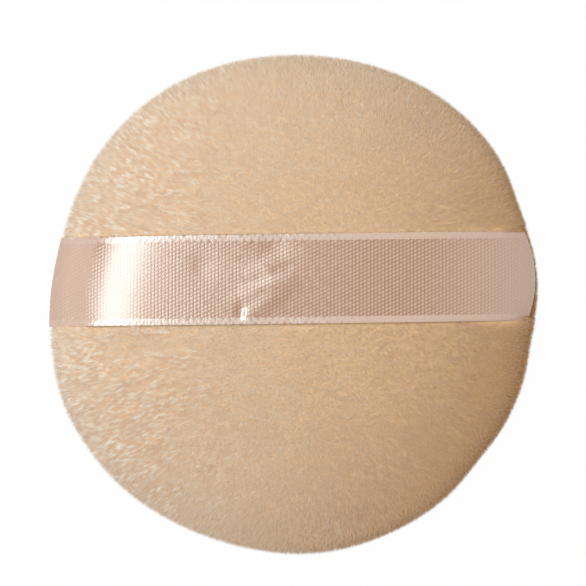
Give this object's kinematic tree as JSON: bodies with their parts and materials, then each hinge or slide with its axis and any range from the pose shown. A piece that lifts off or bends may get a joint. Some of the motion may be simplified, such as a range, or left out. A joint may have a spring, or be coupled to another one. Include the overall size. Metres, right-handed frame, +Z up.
{
  "type": "makeup powder puff",
  "caption": "Round velour powder puff with a foam core between two plush covers and a satin ribbon band across the back for the fingers, for picking up and pressing on face powder",
  "frame": {"origin": "on the resting plane, under the middle of the rim, at the centre of the flattened patch of the powder face", "axes": "+Z up out of the back of the puff, X along the ribbon, +Y towards the side of the middle that the ribbon lies on"},
  "size_m": [0.084, 0.0847, 0.0193],
  "materials": {
    "velour": "short brushed velour pile, tan",
    "foam": "open-cell sponge rubber, cream",
    "satin": "woven satin ribbon, rosy tan, glossy",
    "thread": "spun sewing thread, tan"
  },
  "bodies": {
    "pad": {"back_cover": "velour", "face_cover": "velour", "foam_core": "foam", "seam_thread": "thread", "closing_thread": "thread"},
    "ribbon": {"ribbon_band": "satin"}
  },
  "joints": [
    {"name": "ribbon_lift", "type": "slide", "parent": "pad", "child": "ribbon", "axis": [0, 0, 1], "range_m": [0, 0.008], "deforming": ["ribbon_band"]}
  ]
}
